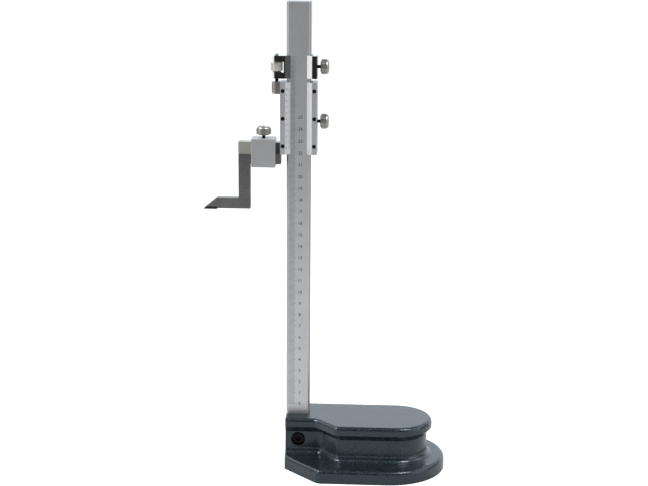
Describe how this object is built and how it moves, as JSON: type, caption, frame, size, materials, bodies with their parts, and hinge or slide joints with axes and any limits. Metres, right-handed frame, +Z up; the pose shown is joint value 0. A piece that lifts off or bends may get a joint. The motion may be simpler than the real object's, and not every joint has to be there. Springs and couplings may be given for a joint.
{
  "type": "height gauge",
  "caption": "Vernier height gauge: cast base, upright scale, sliding vernier head with fine adjustment, and a clamped cranked scriber with a carbide tip.",
  "frame": {"origin": "on the ground face of the base, straight under the middle of the scale face", "axes": "+Z up along the column; +X along the base towards its round end, the scriber points to -X; the scale face looks to -Y"},
  "size_m": [0.2062, 0.098, 0.398],
  "materials": {
    "hammered_enamel": "glossy hammered stoving enamel on cast iron",
    "satin_chrome": "satin hard chrome on ground steel",
    "polished_chrome": "lapped and polished hardened steel",
    "satin_steel": "bead-blasted satin steel",
    "ground_steel": "ground hardened steel",
    "black_oxide": "black oxide steel",
    "nickel": "nickel plate on straight-knurled brass",
    "bronze": "rolled phosphor bronze",
    "carbide": "ground tungsten carbide"
  },
  "bodies": {
    "base": {"base_casting": "hammered_enamel", "column": "satin_chrome", "column_bolt": "black_oxide"},
    "slider": {"slider_body": "satin_chrome", "vernier_plate": "satin_chrome", "cover_plate": "satin_chrome", "vernier_plate_screws": "black_oxide", "cover_plate_screws": "black_oxide", "slider_gib": "bronze", "slider_gib_screws": "black_oxide", "adjusting_screw": "black_oxide", "adjusting_screw_lock": "black_oxide"},
    "slider_clamp": {"slider_clamp_stud": "black_oxide", "slider_clamp_knob": "nickel"},
    "carriage": {"carriage_body": "polished_chrome", "carriage_gib": "bronze"},
    "carriage_clamp": {"carriage_clamp_stud": "black_oxide", "carriage_clamp_knob": "nickel"},
    "adjuster": {"adjusting_nut": "nickel"},
    "sleeve": {"scriber_clamp": "satin_steel"},
    "sleeve_clamp": {"scriber_clamp_stud": "black_oxide", "scriber_clamp_knob": "nickel"},
    "scriber": {"scriber": "ground_steel", "carbide_tip": "carbide"}
  },
  "joints": [
    {"name": "slider_travel", "type": "slide", "parent": "base", "child": "slider", "axis": [0, 0, 1], "range_m": [-0.2245, 0.0435]},
    {"name": "slider_clamp_turn", "type": "hinge", "parent": "slider", "child": "slider_clamp", "pos_m": [0.0178, 0.004, 0.2993], "axis": [1, 0, 0], "range_deg": [0, 360]},
    {"name": "adjuster_turn", "type": "hinge", "parent": "carriage", "child": "adjuster", "pos_m": [-0.0184, 0.003, 0.3446], "axis": [0, 0, 1], "range_deg": [-1800, 3600]},
    {"name": "carriage_travel", "type": "slide", "parent": "slider", "child": "carriage", "axis": [0, 0, 1], "range_m": [-0.0025, 0.005]},
    {"name": "carriage_clamp_turn", "type": "hinge", "parent": "carriage", "child": "carriage_clamp", "pos_m": [0.0178, 0.004, 0.3446], "axis": [1, 0, 0], "range_deg": [0, 360]},
    {"name": "sleeve_travel", "type": "slide", "parent": "slider", "child": "sleeve", "axis": [1, 0, 0], "range_m": [-0.01, 0.0025]},
    {"name": "sleeve_clamp_turn", "type": "hinge", "parent": "sleeve", "child": "sleeve_clamp", "pos_m": [-0.0291, 0.0016, 0.2878], "axis": [0, 0, 1], "range_deg": [0, 360]},
    {"name": "scriber_travel", "type": "slide", "parent": "sleeve", "child": "scriber", "axis": [1, 0, 0], "range_m": [-0.01, 0.0003]}
  ],
  "couplings": [
    {"joint": "adjuster_turn", "follows": "carriage_travel", "rad_per_m": 12566}
  ]
}
